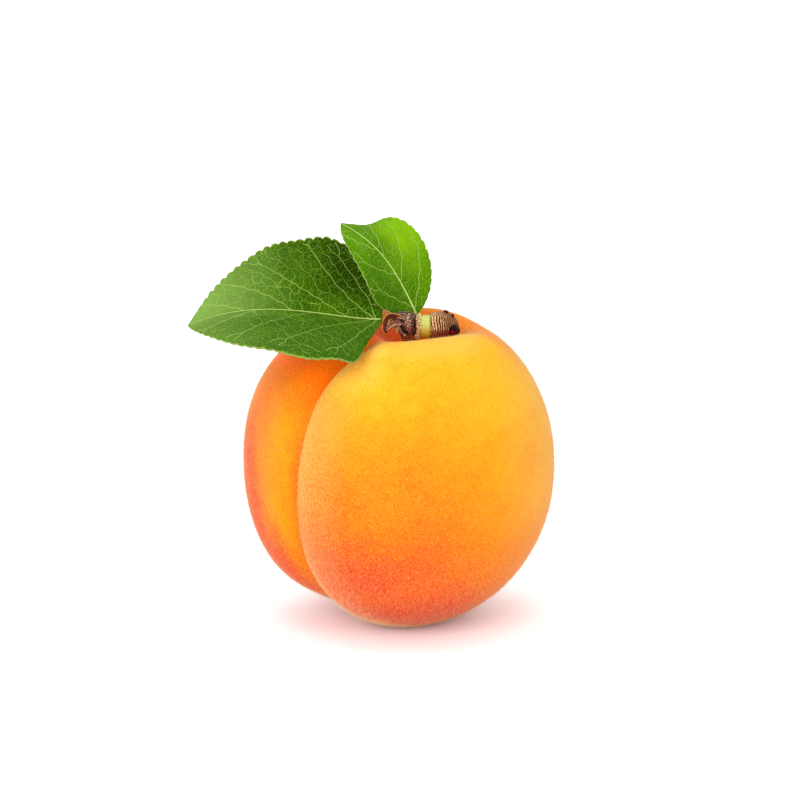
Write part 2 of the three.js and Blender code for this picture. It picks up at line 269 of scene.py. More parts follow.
# low swells and dips of the cheeks: degrees round from the suture, degrees up, height, spread
swells = [
    (205, 48, 1.0, 35),
    (305, 32, 0.9, 30),
    (340, -38, 0.3, 20),
    (330, -68, -1.4, 18),
    (150, 20, -0.4, 30),
    (25, 58, -0.9, 18),
    (85, 66, 0.6, 14),
    (118, 60, 0.7, 12),
    (198, 64, 0.9, 14),
]
cavity_depth, cavity_along, cavity_across = 9.0, -1.7, 0.8
cavity_half_length, cavity_half_width = 7.9, 7.4
groove_depth, groove_near, groove_far = 4.3, 1.9, 3.8
groove_sharpness, groove_bottom, groove_flare = 1.2, 0.3, 0.6
fruit_rows, fruit_columns = 210, 250


def eased(low, high, values):
    t = np.clip((values - low) / (high - low), 0, 1)
    return t * t * (3 - 2 * t)


def bearing(turn, rise):
    return np.array([math.cos(rise) * math.cos(turn), math.cos(rise) * math.sin(turn), math.sin(rise)])


def skin_points(down, turn):
    """Points of the skin in millimetres, for angles down from the stem and round from the suture."""
    ring, height = np.sin(down), np.cos(down)
    out = np.stack([ring * np.cos(turn), ring * np.sin(turn), height], -1)
    reach = np.where(height > 0, fruit_crown, fruit_base)
    squareness = np.where(height > 0, crown_squareness, base_squareness)
    fullness = (ring / fruit_radius) ** squareness + np.abs(height / reach) ** squareness
    distance = fullness ** (-1 / squareness)
    for round_from_suture, up, by, spread in swells:
        middle = bearing(round_from_suture * DEGREE, up * DEGREE)
        off = np.arccos(np.clip(out @ middle, -1, 1)) / DEGREE
        distance = distance + by * np.exp(-((off / spread) ** 2))
    x, y, z = np.moveaxis(out * distance[..., None], -1, 0)
    along, across = (x - cavity_along) / cavity_half_length, (y - cavity_across) / cavity_half_width
    inward = np.hypot(x, z) + 1e-9
    inward_x, inward_z = x / inward, z / inward
    z = z - np.where(height > 0, cavity_depth * np.exp(-(along**2) - across**2), 0)
    degrees = down / DEGREE
    flare = 1 + groove_flare * (1 - eased(15, 60, degrees))
    width = np.where(y > 0, groove_near, groove_far) * flare
    sunk = groove_depth * eased(8, 30, degrees) * (1 - 0.95 * eased(130, 172, degrees))
    sunk = sunk * np.exp(-((np.hypot(y, groove_bottom) / width) ** groove_sharpness)) * eased(0, 8, x)
    return np.stack([x - inward_x * sunk, y, z - inward_z * sunk], -1)


def spun(a, b, turn):
    """Two coordinates turned about the third axis, from the first towards the second."""
    return a * math.cos(turn) - b * math.sin(turn), a * math.sin(turn) + b * math.cos(turn)


def stood_up(points):
    """Turns the suture to the front left, leans the fruit, and stands it on its flat spot."""
    x, y, z = np.moveaxis(points, -1, 0)
    x, y = spun(x, y, suture_at)
    z, x = spun(z, x, fruit_lean)
    return np.stack([x, y, np.maximum(z + belly_height, 0)], -1)


def fruit_surface(row, side):
    """row runs 0 to 1 from the stem end down; side runs -1 to 1, and is 0 at the suture."""
    down = math.pi * (row - 0.1 * np.sin(2 * math.pi * row))
    turn = math.pi * (0.35 * side + 0.65 * side**3)
    return stood_up(skin_points(down, turn))


def ring_faces(ring_count, per_ring, first_pole, last_pole):
    """Faces of a closed skin of rings, with a fan at each pole."""
    here = np.arange(per_ring)
    after = (here + 1) % per_ring
    faces = []
    for ring in range(ring_count - 1):
        top, low = ring * per_ring, (ring + 1) * per_ring
        faces += np.stack([top + here, low + here, low + after, top + after], -1).tolist()
    last = (ring_count - 1) * per_ring
    faces += [(first_pole, int(a), int(b)) for a, b in zip(here, after)]
    faces += [(last_pole, int(last + b), int(last + a)) for a, b in zip(here, after)]
    return faces


rows = np.arange(1, fruit_rows) / fruit_rows
sides = np.arange(fruit_columns) / fruit_columns * 2 - 1
row_grid, side_grid = np.meshgrid(rows, sides, indexing="ij")
skin = fruit_surface(row_grid, side_grid).reshape(-1, 3)
poles = fruit_surface(np.array([0.0, 1.0]), np.array([0.0, 0.0]))
skin = np.vstack([skin, poles])
fruit_faces = ring_faces(fruit_rows - 1, fruit_columns, len(skin) - 2, len(skin) - 1)

skin_finish, place, link = new_finish(
    "downy_skin", Roughness=0.6, Specular_IOR_Level=0.08, Subsurface_Weight=0.15,
    Subsurface_Radius=(1.0, 0.4, 0.1), Subsurface_Scale=0.0015, Sheen_Weight=0.22,
    Sheen_Roughness=0.3, Sheen_Tint=(1.0, 0.7, 0.4, 1.0),
)
right, back, height = place.axis(0), place.axis(1), place.axis(2)
# how far a place lies on the near cheek's side of the suture's plane, and how far ahead
aside, ahead = place.towards(suture_aside), place.towards(suture_ahead)
front = ahead.eased(-1, 8)
far_cheek = aside.eased(0.5, -2.5) * front + aside.eased(12, -12) * (1 - front)

# how ripe the skin is, from yellow at 0 to red orange at 1
right_flank = right.eased(3, 22)
left_flank = right.eased(-2, -14) * height.eased(44, 34)
upper_left = place.near((-9, -17, 47), 5, 17)
near_ripeness = (
    (52 - height) / 42 + left_flank * 0.13 - upper_left * 0.15
    - right_flank * (height.eased(38, 20) * 0.27 + 0.2) + height.eased(24, 14) * 0.08
)
far_ripeness = height.eased(37, 46) * 0.3 + height.eased(20, 9) * 0.35 + aside.eased(-5, -10) * 0.15 + 0.33
far_rim = back.eased(-8, -1) * height.eased(35, 49) * right.eased(26, 13)
hollow = place.near((1.5, 2, 47), 8, 15)
clouds = (place.cloud(11.0, 2.0) - 0.5) * 0.3 + (place.cloud(2.0, 4.0, 0.75) - 0.5) * 0.45
ripeness = near_ripeness * (1 - far_cheek) + far_ripeness * far_cheek
ripeness = (hollow * 0.6).at_least(far_rim * 0.6).at_least(ripeness) + clouds

# the lips of the suture and the right flank are paler and peachy, a painted sheen of the down,
# and the far cheek's outside is pink
lip = aside.eased(0.5, 3.0) * height.eased(48, 40) * (aside.eased(13, 6) * 0.45 + aside.eased(7, 3.5) * 0.3)
flank_sheen = right.eased(15, 26) * height.eased(2, 12) * 0.35
far_shoulder = aside.eased(-3, -7) * height.eased(46, 38) * front
# painted light: the far cheek's top, where the leaf's shadow falls, is lifted to a bright deep orange
far_top_lift = far_cheek * height.eased(44.2, 47.2) * ahead.eased(-2, 13)
# the top of the near rim is paler, partly its own colour and partly painted sheen where it catches light
near_rim_sheen = back.eased(-2, -7) * height.eased(48.5, 51) * right.eased(-6, 3) * right.eased(16, 11)
# painted light: the near cheek's shoulder in the leaf's shadow is lifted to a bright yellow
near_shoulder_lift = place.near((-8, -16, 47.5), 1, 7.5).at_least(place.near((-4.8, -12.6, 50), 1, 4.5))
# painted glow: the suture's crease and the stem cavity are a bright deep orange, painted in place of
# light that comes through the flesh, which also lifts the shade there
crease_glow = aside.eased(1.2, 0.2) * aside.eased(-6, -1) * height.eased(37, 43) * front
cavity_glow = place.near((-1.5, 1, 47), 5, 9)

# the red blush: on the far cheek's outside, low on the near one, and broad round the back
waver = (place.cloud(8.0, 3.0) - 0.5) * 9
blush = (aside + waver).eased(-3.5, -12.5) * (height + waver).eased(47, 31)
blush = blush * (height.eased(30, 20) * 0.2 + 0.8)
blush = blush.at_least(aside.eased(-1, -6) * (height + waver).eased(28, 12) * 0.75)
blush = blush * (ahead + waver * ahead.eased(9, 0)).eased(-14, 8)
blush = blush.at_least(height.eased(14, 3) * right.eased(24, 8) * 0.8)
for middle, spread, depth in (
    ((-7, -22, 12), 16, 0.57), ((14, 26, 24), 34, 0.9), ((-15, 19, 25), 31, 0.85), ((-24, 14, 37), 17, 0.75)
):
    blush = blush.at_least(place.near(middle, 0, spread) * depth)
streaks = (place.cloud(3.6, 5.0, 0.65) - 0.5) * 0.7 * blush.eased(0.02, 0.5)
blush = (blush + streaks).eased(0.1, 1.0)

# fine marks: dark orange freckles, thickest where the skin is ripe, and pale ones everywhere
freckled = (place.cloud(4.0, 3.0) + ripeness * 0.5).eased(0.45, 0.95)
freckles = place.dot_middle(0.7).eased(0.24, 0.08) * freckled
freckle_colour = blush.over(far_cheek.over((200, 112, 8), (224, 100, 8)), (150, 36, 24))
grain = place.cloud(0.27, 2.0, 0.6)
coarse = (blush.eased(0, 0.6) * 0.6).at_least(ripeness.eased(0.1, 1.0) * 0.7)
dark_grain = grain.eased(0.53, 0.61) * (coarse * 0.65 + 0.32)
dark_grain *= 1 - far_cheek * height.eased(36, 43) * 0.75
dark_mark = ripeness.eased(0.3, 0.9).over((204, 108, 4), (214, 84, 8))
pale_grain = grain.eased(0.44, 0.34) * (coarse * 0.45 + 0.15)

colour = layered(
    ripeness.ramp(
        (0.0, (266, 202, 28)), (0.25, (266, 174, 4)), (0.5, (266, 150, 2)), (0.75, (266, 128, 10)),
        (1.0, (264, 100, 30)),
    ),
    # painted sheen of the down, on the suture's lips and the right flank
    (lip.at_least(flank_sheen), height.eased(8, 34).over((264, 132, 86), (268, 200, 100))),
    (far_shoulder * 0.4, (252, 140, 76)),
    # painted light lifting the leaf's shadow on the far cheek's top
    (far_top_lift * 0.8, (320, 124, 8)),
    # painted sheen on the near rim's top
    (near_rim_sheen * 0.4, (258, 220, 96)),
    # painted glow in the suture's crease and the stem cavity
    (crease_glow, (330, 144, 4)),
    (cavity_glow * 0.8, (350, 120, 0)),
    # painted light lifting the leaf's shadow on the near cheek's shoulder
    (near_shoulder_lift * aside.eased(0.5, 1.5), (330, 234, 84)),
    (blush, height.eased(8, 30).over((258, 70, 38), (260, 86, 34))),
    (freckles * (blush * 0.3 + 0.4), freckle_colour),
    (dark_grain, blush.over(dark_mark, (126, 26, 18))),
    (pale_grain, blush.over((262, 214, 70), (272, 190, 140))),
)
link(Base_Color=colour, Normal=(grain * 0.6 + place.cloud(1.6) * 0.4).raised(0.0001))

fruit = add_mesh("fruit_skin", skin, fruit_faces, skin_finish)
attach(fruit, "root")
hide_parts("fruit")


# ---------------------------------------------------------------- down
# The fine short hairs that cover the whole skin and make its outline pale and soft. Each is a
# slim cone that grows from the skin, a little combed towards the fruit's base.

hair_count = 65000       # in each of two pieces
hair_length = (0.2, 0.55)
hair_root, hair_sunk = 0.011, 0.02
hair_sides = 3
hair_scatter, hair_comb = 0.35, (0, 0, -0.2)
bare_below = 0.3         # no hair so near the floor
chance = np.random.default_rng(7)


def unit(vectors):
    return vectors / np.linalg.norm(vectors, axis=-1, keepdims=True)


def around(count):
    """Even angles round a circle."""
    return np.arange(count) / count * 2 * math.pi


def scattered(points, faces, count):
    """Random places spread evenly over a quad mesh, with the outward normal at each."""
    a, b, c, d = (points[np.asarray(faces)[:, i]] for i in range(4))
    face_normal = np.cross(c - a, d - b)
    area = np.linalg.norm(face_normal, axis=1)
    pick = chance.choice(len(area), count, p=area / area.sum())
    u, v = chance.random((2, count, 1))
    spot = (a[pick] * (1 - u) + b[pick] * u) * (1 - v) + (d[pick] * (1 - u) + c[pick] * u) * v
    return spot, unit(face_normal[pick])


def hair_cones(root, heading, length):
    """Slim cones from root along heading; the open end sits under the surface."""
    side = unit(np.cross(heading, [0.31, 0.52, 0.79]))
    other = np.cross(heading, side)
    foot = [root + (side * math.cos(t) + other * math.sin(t)) * hair_root for t in around(hair_sides)]
    points = np.stack(foot + [root + heading * length], 1).reshape(-1, 3)
    first = np.arange(len(root))[:, None] * (hair_sides + 1)
    faces = [first + [i, (i + 1) % hair_sides, hair_sides] for i in range(hair_sides)]
    return points, np.concatenate(faces).tolist()


def thickness(roots):
    """How thick the down stands, 0 to 1: thickest low on the lips of the suture."""
    away = roots @ suture_aside
    height = roots[:, 2]
    lips = eased(-1.5, 0.5, away) * eased(11, 7, away) * eased(26, 16, height)
    worn = eased(-5, -3, away) * eased(5, 2.5, away) * eased(33, 38, height)
    hollow = eased(13, 9, np.linalg.norm(roots - [-1, 0, 48], axis=1))
    return (0.45 + 0.35 * lips) * (1 - 0.95 * np.maximum(worn, hollow)), lips


down_finish, place, link = new_finish(
    "pale_down", Roughness=0.7, Specular_IOR_Level=0.2, Emission_Strength=0.35
)
aside = place.towards(suture_aside)
# painted light: the hairs low on the suture's lips glow with a pale light of their own, bright in shade
glowing = aside.eased(-1.5, 0.5) * aside.eased(11, 7) * place.axis(2).eased(24, 14)
link(
    # paler low down: painted light, so the low hairs stay bright in shade
    Base_Color=place.axis(2).eased(20, 10).over((262, 200, 124), (280, 226, 166)),
    Emission_Color=glowing.over((0, 0, 0, 1), (255, 214, 160)),
)
quads = [face for face in fruit_faces if len(face) == 4]
for number in (1, 2):
    roots, normals = scattered(skin, quads, hair_count * 3)
    share, lips = thickness(roots)
    free = np.flatnonzero((roots[:, 2] > bare_below) & (chance.random(len(roots)) < share))[:hair_count]
    roots, normals = roots[free], normals[free]
    heading = unit(normals + chance.normal(0, hair_scatter, roots.shape) + hair_comb)
    length = chance.uniform(*hair_length, (len(roots), 1)) * (1 + 0.3 * lips[free, None])
    cones, cone_faces = hair_cones(roots - normals * hair_sunk, heading, length)
    down = add_mesh(f"fruit_down_{number}", cones, cone_faces, down_finish)
    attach(down, "root")


# ---------------------------------------------------------------- spur
# A stub of fruiting twig that lies across the stem cavity: a cracked dry knob with curled bud
# scales, a torn ring of bark, a green band of young wood, then ringed bark up to a dark bud.
# The fruit's stalk runs from under the knob to the floor of the cavity.

# half the thickness along X: rounded end, knob, neck, torn fringe, green band, bark, domed end
spur_outline = [
    (-1.0, 0), (-0.95, 0.95), (-0.6, 1.85), (0.1, 2.4), (1.2, 2.55), (2.3, 2.4), (2.95, 2.0),
    (3.3, 2.2), (3.6, 2.0), (5.2, 2.05), (5.45, 2.25), (6.6, 2.4), (7.8, 2.3), (8.8, 1.95),
    (9.6, 1.25), (10.05, 0.5), (10.15, 0),
]
knob_height, bark_height = 51.9, 52.2
stalk_at, narrowing = 1.2, 0.5           # the knob's underside draws in to the fruit's stalk
fringe_lean = 0.45
knob_ends, bark_from, bark_to = (2.2, 3.0), 5.3, 9.8
ring_pitch, ring_bow, ring_height = 0.42, 0.45, 0.16
wave_height, lump_height, fibre_height, fine_height = 0.1, 0.3, 0.3, 0.08      # on the knob
bark_roughness, grit = 0.05, 0.015
spur_rows, spur_sides = 260, 180


def crags(points, size, octaves=4):
    """Rough noise, about -1 to 1, at each point, with features of this size."""
    return np.array([noise.fractal(Vector(p) / size, 0.8, 2.0, octaves) for p in points])


def fibres(points, size, heading, drawn_out):
    """1 on the crests of fine ridges, drawn out along a heading, and 0 in the cracks beside."""
    heading = unit(np.array(heading, float))
    squeezed = points - (points @ heading)[:, None] * heading * (1 - 1 / drawn_out)
    return 1 - np.clip(np.abs(crags(squeezed, size, 3)) * 2.2, 0, 1)


def spur_middle(x):
    return knob_height + (bark_height - knob_height) * eased(4.8, 6.6, x)


outline = np.array(spur_outline)
run = np.concatenate([[0], np.cumsum(np.hypot(*np.diff(outline, axis=0).T))])
spots = np.linspace(0, run[-1], spur_rows + 2)[1:-1]
along = np.interp(spots, run, outline[:, 0])
radius = np.interp(spots, run, outline[:, 1])
x, turn = np.meshgrid(along, around(spur_sides), indexing="ij")
radius = np.broadcast_to(radius[:, None], x.shape)
across, upright = np.cos(turn), np.sin(turn)
flat = np.stack([x, across * radius, upright * radius], -1).reshape(-1, 3)
rough = crags(flat, 1.3, 5).reshape(x.shape)
fine = crags(flat + 50, 0.35, 3).reshape(x.shape)
grain = fibres(flat, 0.75, (0.5, 0, -1), 3.5).reshape(x.shape)

# the knob is lumpy and cracked along its grain; the bark is ringed, with bowed uneven ridges
knob = 1 - eased(*knob_ends, x)
bark = eased(bark_from - 0.15, bark_from + 0.1, x)
domed = 1 - eased(bark_to - 1.2, bark_to, x)
waves = np.sin(3 * turn + 1.1 * x) + 0.8 * np.sin(5 * turn - 1.7 * x + 2)
crag = wave_height * waves + lump_height * rough + fibre_height * (grain - 0.6) + fine_height * fine
bowed = x + ring_bow * across * radius + 0.16 * rough + 0.1 * np.sin(5 * turn)
ridge = np.abs(np.sin(math.pi * bowed / ring_pitch)) ** 0.6
deep = 0.5 + 0.5 * eased(6.0, 6.6, x) * (1 - 0.3 * eased(7.6, 8.2, x))
rings = ring_height * deep * (ridge - 0.7) + bark_roughness * rough
lift = knob * crag + bark * domed * rings + grit * fine
radius = radius + lift * np.minimum(radius / 1.5, 1)
# on the underside the knob draws in to the stalk, and the fringe leans towards the knob
below = np.maximum(-upright, 0)
leaning = eased(*knob_ends, x) * (1 - eased(4.2, 5.4, x))
x = x + (stalk_at - x) * narrowing * below * knob - fringe_lean * below * leaning
spur_skin = np.stack([x, across * radius, spur_middle(x) + upright * radius], -1).reshape(-1, 3)
ends = [(spur_outline[0][0], 0, knob_height), (spur_outline[-1][0], 0, bark_height)]
spur_skin = np.vstack([spur_skin, ends])
# colour by relief: the wood's own tone plus painted shade in cracks and painted highlights on crests
tone = knob * (0.42 + 1.3 * crag) + bark * (1 - deep * (1 - ridge) * 2.1)
tone = np.append(np.clip(tone, 0, 1), [0.3, 0.3])

wood_finish, place, link = new_finish("spur_wood", Roughness=0.7, Specular_IOR_Level=0.15)
# the relief's tone from the mesh, with its painted shade in the cracks and grooves
relief_tone_and_shade = place.carried("tone", 2)
lengthways, height = place.axis(0), place.axis(2)
grime = place.cloud(0.5, 4.0, 0.7)
crumbs = place.cloud(0.24, 2.0, 0.6)
topside = height.eased(50.6, 53.9)
greyed = height.eased(53.0, 54.4) * grime.eased(0.35, 0.6)
# painted shade: a dark spot for the hollow under the scales on the knob's front
pit_shade = place.near((0.3, -1.9, 53.3), 0.35, 0.95)
lit_foot = lengthways.eased(0.2, 1.4) * height.eased(51.2, 50.4)
knob_colour = layered(
    (relief_tone_and_shade + (crumbs - 0.5) * 2.6 + (grime - 0.5) * 1.2).ramp(
        (0.0, (20, 6, 6)), (0.32, (66, 24, 12)), (0.54, (130, 64, 34)), (0.74, (212, 144, 106)),
        (0.9, (262, 234, 212)),
    ),
    (greyed * 0.45, (140, 126, 98)),
    (height.eased(50.8, 49.8) * 0.6, (96, 34, 24)),
    (pit_shade * 0.85, (26, 6, 6)),
    (lit_foot * 0.7, (190, 104, 34)),
)
pale_zone = lengthways.eased(7.6, 6.2) * topside * relief_tone_and_shade.eased(0.6, 0.95)
old_wood = lengthways.eased(6.4, 7.4) * grime.eased(0.4, 0.6)
olive_zone = lengthways.eased(7.5, 8.3) * topside.eased(0.2, 0.6)
# painted shade: the bark's underside turns dark maroon, except on its palest ridges
underside_shade = topside.eased(0.45, 0.12) * (relief_tone_and_shade + (grime - 0.5) * 0.5).eased(1.2, 0.85)
bark_colour = layered(
    (relief_tone_and_shade * 1.05 + (crumbs - 0.5) * 1.3 - 0.05).ramp(
        (0.0, (26, 2, 0)), (0.45, (98, 30, 6)), (0.75, (206, 124, 54)), (0.95, (264, 222, 160))
    ),
    (lengthways.eased(7.4, 8.6) * 0.4, (128, 66, 20)),
    (pale_zone * 0.65, (226, 186, 136)),
    (old_wood * 0.45, (110, 54, 16)),
    (olive_zone * grime.eased(0.35, 0.6) * 0.6, (122, 74, 26)),
    (olive_zone * crumbs.eased(0.56, 0.62) * 0.8, (32, 18, 14)),
    (olive_zone * crumbs.eased(0.37, 0.32) * 0.6, (236, 200, 140)),
    (underside_shade * 0.85, (130, 14, 20)),
)
ragged = (grime - 0.5) * 0.4
band_colour = layered(
    # ochre below and pale yellow-green on top: partly its own colour, partly a painted highlight
    topside.over((218, 182, 44), (224, 232, 132)),
    ((ragged + topside).eased(0.3, 0.7) * 0.5, (200, 214, 104)),
    (lengthways.eased(4.9, 5.25) * 0.5, (150, 130, 60)),
)
# from the knob along the spur: the torn fringe, the green band and the bark
colour = layered(
    knob_colour,
    (lengthways.eased(2.7, 3.1), grime.eased(0.35, 0.65).over((156, 96, 36), (250, 210, 116))),
    (lengthways.eased(3.55, 3.8), band_colour),
    ((ragged + lengthways).eased(5.15, 5.35), bark_colour),
)
link(Base_Color=colour, Normal=(crumbs * 0.6 + place.cloud(0.2)).raised(0.0001))

spur_faces = ring_faces(spur_rows, spur_sides, len(spur_skin) - 2, len(spur_skin) - 1)
spur = add_mesh("spur_wood", spur_skin, spur_faces, wood_finish, tone=tone)
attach(spur, "root")
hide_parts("spur")


def curve_points(corners, count):
    """Points along a smooth curve through its corners, and the curve's headings there."""
    corners = np.array(corners, float)
    corners = np.vstack([2 * corners[0] - corners[1], corners, 2 * corners[-1] - corners[-2]])
    share = np.linspace(0, len(corners) - 3, count)
    first = np.minimum(share.astype(int), len(corners) - 4)
    t = (share - first)[:, None]
    a, b, c, d = (corners[first + i] for i in range(4))
    points = b + 0.5 * t * (c - a + t * (2 * a - 5 * b + 4 * c - d + t * (3 * (b - c) + d - a)))
    return points, unit(np.gradient(points, axis=0))


def rod_skin(middle, heading, up, wide, high, sides, cup=0.0, squareness=1.0):
    """Rings round a path, wide across it and high along up, then its two ends."""
    side = unit(np.cross(heading, up))
    upright = np.cross(side, heading)
    turns = around(sides)
    across, above = (np.sign(v) * np.abs(v) ** squareness for v in (np.cos(turns), np.sin(turns)))
    over = wide[:, None] * across
    rise = high[:, None] * above - cup * over**2
    rings = middle[:, None] + side[:, None] * over[..., None] + upright[:, None] * rise[..., None]
    return np.vstack([rings.reshape(-1, 3), middle[:1], middle[-1:]])


def pebble(middle, heading, wide, reach, rows, sides):
    """A rounded lump along a heading, faintly stepped like closed scales."""
    share = np.linspace(-1, 1, rows + 2)[1:-1]
    step = 1 + 0.1 * ((share * 2.2) % 1)
    spots = np.array(middle) + heading * (share * reach)[:, None]
    wide = wide * np.sqrt(1 - share**2) * step
    return rod_skin(spots, np.broadcast_to(heading, spots.shape), [0.01, 0.2, 1], wide, wide, sides)


def joined(skins, per_ring):
    """One mesh of several rods, as points and faces."""
    points, faces, first = [], [], 0
    for skin_part in skins:
        count = len(skin_part)
        part_faces = ring_faces((count - 2) // per_ring, per_ring, count - 2, count - 1)
        faces += [[first + i for i in face] for face in part_faces]
        points.append(skin_part)
        first += count
    return np.vstack(points), faces


# dry scales: path, the way the flat side faces, half-width at the root, cup, and how yellow
hood = [(0.4, -1.1, 53.2), (-1.4, -2.6, 54.3), (-2.35, -3.2, 53.9), (-2.6, -3.5, 52.5), (-2.4, -3.5, 51.5)]
cap, front = (0, -0.7, 0.7), (0, -1, 0)
scale_paths = [
    (hood, (0.35, -0.85, -0.35), 0.8, -0.35, 0.6),
    ([(0.5, -1.4, 52.9), (-1.1, -2.8, 53.2), (-2.4, -3.8, 52.2)], (0, -0.8, 0.6), 0.55, 0.4, 0.0),
    ([(0.2, -1.0, 52.9), (-1.1, -2.2, 53.5), (-2.0, -2.9, 53.0)], (0.1, -1, 0.1), 0.8, -0.1, -1.0),
    ([(0.3, -0.9, 53.0), (-1.6, -2.2, 54.5), (-2.5, -2.6, 55.3)], (0, -1, 0), 0.36, 0.3, 1.0),
    ([(-0.1, -1.9, 52.3), (-0.5, -2.35, 52.0), (-0.45, -2.45, 51.2)], (0, -1, 0), 0.3, 0.4, 0.9),
    ([(0.6, -1.9, 53.0), (-0.6, -2.5, 52.9), (-1.9, -3.4, 51.9)], (0, -0.9, 0.5), 0.22, 0.3, 0.1),
    ([(-1.3, -0.8, 54.1), (-0.2, -1.0, 54.5), (0.9, -0.9, 54.5), (1.9, -0.6, 54.0)], cap, 0.3, 0.4, 1.4),
    ([(-1.1, -1.8, 53.9), (0.2, -2.0, 53.95), (1.0, -2.2, 53.6), (1.6, -2.6, 52.6)], cap, 0.2, 0.3, 0.0),
    ([(-0.6, -1.9, 53.2), (-0.3, -2.3, 52.3), (0.4, -2.4, 51.2), (0.9, -2.1, 50.3)], front, 0.15, 0.2, 0.1),
    ([(1.5, -2.1, 53.2), (1.7, -2.5, 52.2), (1.5, -2.4, 51.2)], front, 0.2, 0.2, 0.3),
]
scale_half_thickness, scale_steps, scale_sides = 0.09, 44, 24
scale_skins, rims, yellows = [], [], []
for corners, faces_to, half_width, cup, yellow in scale_paths:
    middle, heading = curve_points(corners, scale_steps)
    ragged = 1 + 0.22 * crags(middle, 0.3)
    wide = half_width * (1 - 0.7 * np.linspace(0, 1, scale_steps) ** 3) * ragged
    high = np.full(scale_steps, scale_half_thickness)
    scale_skins.append(rod_skin(middle, heading, faces_to, wide, high, scale_sides, cup))
    rims += [*np.tile(np.abs(np.cos(around(scale_sides))), scale_steps), 1, 1]
    yellows += [yellow] * len(scale_skins[-1])

scale_finish, place, link = new_finish("dry_scale", Roughness=0.6, Specular_IOR_Level=0.15)
rim, yellow = place.carried("rim", 2), place.carried("yellow", 2)
fibre = place.cloud(0.26, 4.0, 0.7)
lit = ((fibre - 0.5) * 1.6 + rim).eased(0.55, 0.98)
# pink scales, then tan, yellow, grey and dark brown ones
colour = layered(
    lit.over((146, 80, 58), (254, 208, 180)),
    (yellow.eased(0.1, 0.5), lit.over((104, 40, 18), (256, 190, 104))),
    (yellow.eased(0.7, 0.85), lit.over((196, 140, 70), (236, 208, 132))),
    (yellow.eased(1.1, 1.3), lit.over((92, 70, 54), (214, 194, 164))),
    (yellow.eased(-0.3, -0.8), lit.over((80, 28, 14), (132, 60, 34))),
    (fibre.eased(0.55, 0.64) * 0.8, (60, 20, 14)),
)
link(Base_Color=colour, Normal=fibre.raised(0.0001))
scales = add_mesh("bud_scales", *joined(scale_skins, scale_sides), scale_finish, rim=rims, yellow=yellows)
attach(scales, "root")

# the torn lip of bark beside the green band: two crumbly rings of small pale lumps
lip_sides, lip_rows = 7, 5
chance = np.random.default_rng(11)
lip_skins = []
for ring_x, out_by, count in ((2.95, 1.98, 34), (3.3, 2.14, 38), (3.56, 2.0, 34)):
    for number in range(count):
        turn = (number + chance.uniform(-0.35, 0.35)) / count * 2 * math.pi
        out = np.array([0, math.cos(turn), math.sin(turn)])
        middle = out * (out_by + chance.uniform(-0.05, 0.08))
        leant = fringe_lean * max(-out[2], 0)
        middle += [ring_x - leant + chance.uniform(-0.1, 0.1), 0, spur_middle(ring_x)]
        heading = unit(out + chance.normal(0, 0.6, 3))
        size = chance.uniform(0.09, 0.19)
        lip_skins.append(pebble(middle, heading, size, size * chance.uniform(1, 1.7), lip_rows, lip_sides))
lip_finish, place, link = new_finish("torn_bark", Roughness=0.7, Specular_IOR_Level=0.25)
link(Base_Color=place.cloud(0.45, 3.0).eased(0.38, 0.62).over((196, 134, 66), (262, 236, 176)))
lip = add_mesh("bark_lip", *joined(lip_skins, lip_sides), lip_finish)
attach(lip, "root")

# the bud at the domed end and small knots on top, all of dark overlapping scales
bud_rows, bud_sides = 40, 48
buds = [
    ((9.3, -1.55, 51.6), (0.57, -0.82, 0.0), 0.95, 1.2),
    ((7.9, -0.1, 54.35), (0.2, -0.2, 1.0), 0.5, 0.5),
    ((9.0, -0.6, 53.9), (0.7, -0.3, 0.6), 0.3, 0.42),
]
bud_skins = [pebble(at, unit(np.array(to)), wide, reach, bud_rows, bud_sides) for at, to, wide, reach in buds]
bud_finish, place, link = new_finish("bud_scale", Roughness=0.15, Specular_IOR_Level=0.06)
grain = place.cloud(0.3, 4.0, 0.7)
colour = layered(
    grain.eased(0.4, 0.7).over((36, 2, 8), (120, 12, 28)),
    # painted shade: a dark spot for the shade inside the bud's opening
    (place.near((9.1, -2.4, 52.1), 0.4, 0.75) * 0.9, (16, 0, 2)),         # its opening
    (place.near((9.0, -2.5, 51.45), 0.15, 0.5) * 0.8, (170, 14, 48)),     # a scale inside
)
link(Base_Color=colour, Normal=grain.raised(0.0002))
bud = add_mesh("spur_bud", *joined(bud_skins, bud_sides), bud_finish)
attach(bud, "root")

stalk_ends = [(1.3, 0.3, 51.2), (2.0, 0.45, 48.3), (2.7, 0.6, 45.4)]
stalk_steps, stalk_sides = 40, 32
middle, heading = curve_points(stalk_ends, stalk_steps)
share = np.linspace(0, 1, stalk_steps)
wide = 0.95 + 0.2 * share + 0.06 * crags(middle, 0.8)
stalk_finish, place, link = new_finish("stalk_bark", Roughness=0.75, Specular_IOR_Level=0.3)
link(Base_Color=place.cloud(0.5, 4.0).eased(0.35, 0.7).over((92, 44, 28), (150, 96, 58)))
stalk_skin = rod_skin(middle, heading, [0, 1, 0], wide, wide, stalk_sides)
stalk = add_mesh("fruit_stalk", *joined([stalk_skin], stalk_sides), stalk_finish)
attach(stalk, "root")


# ---------------------------------------------------------------- leaves
# Two leaves grow from the spur's knob on short stalks. Each is one thin blade, folded up from its
# midrib, with blunt teeth. Side veins leave the midrib, and a net of fine veins fills between.

